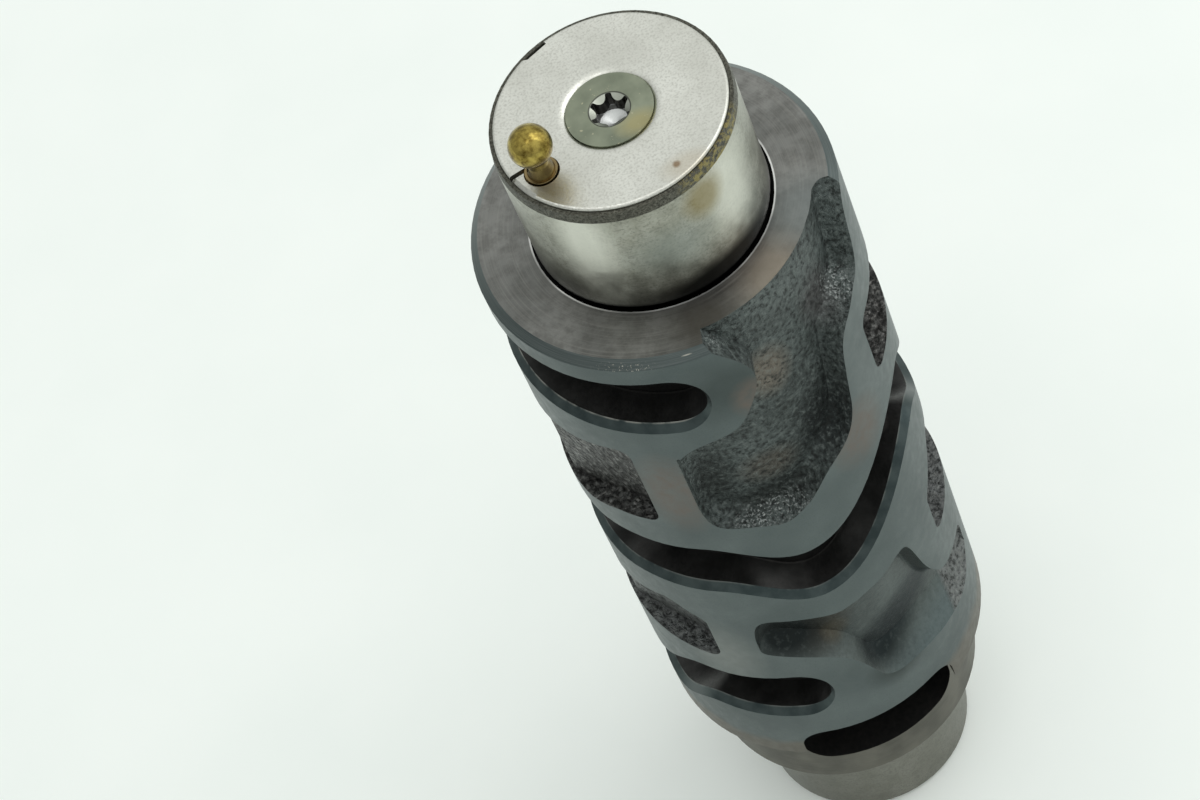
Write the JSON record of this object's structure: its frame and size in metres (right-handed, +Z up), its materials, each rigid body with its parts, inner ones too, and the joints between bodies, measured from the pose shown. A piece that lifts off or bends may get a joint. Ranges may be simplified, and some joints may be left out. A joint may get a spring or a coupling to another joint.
{
  "type": "gear shift drum",
  "caption": "Cylindrical selector drum with cam grooves for shift fork pins, a journal at each end, a bolted end plate and a sprung brass contact pin.",
  "frame": {"origin": "middle of the flat lower end", "axes": "+Z up along the drum's axis, towards the end plate; -Y towards the front, between the two deep pockets"},
  "size_m": [0.04, 0.04, 0.142],
  "materials": {
    "drum_steel": "satin machined lands, dark grooves, rough as-cast pockets",
    "plate_steel": "fine satin",
    "screw_steel": "smooth, olive grey",
    "pin_brass": "worn, tarnished",
    "spring_steel": "drawn wire"
  },
  "bodies": {
    "drum": {"drum_body": "drum_steel", "end_plate": "plate_steel", "end_screw": "screw_steel", "contact_spring": "spring_steel"},
    "pin": {"contact_pin": "pin_brass"}
  },
  "joints": [
    {"name": "contact_press", "type": "slide", "parent": "drum", "child": "pin", "axis": [0, 0, -1], "range_m": [0, 0.0015], "stiffness_N_per_m": 1500, "springref_m": -0.001, "deforming": ["contact_spring"]}
  ]
}
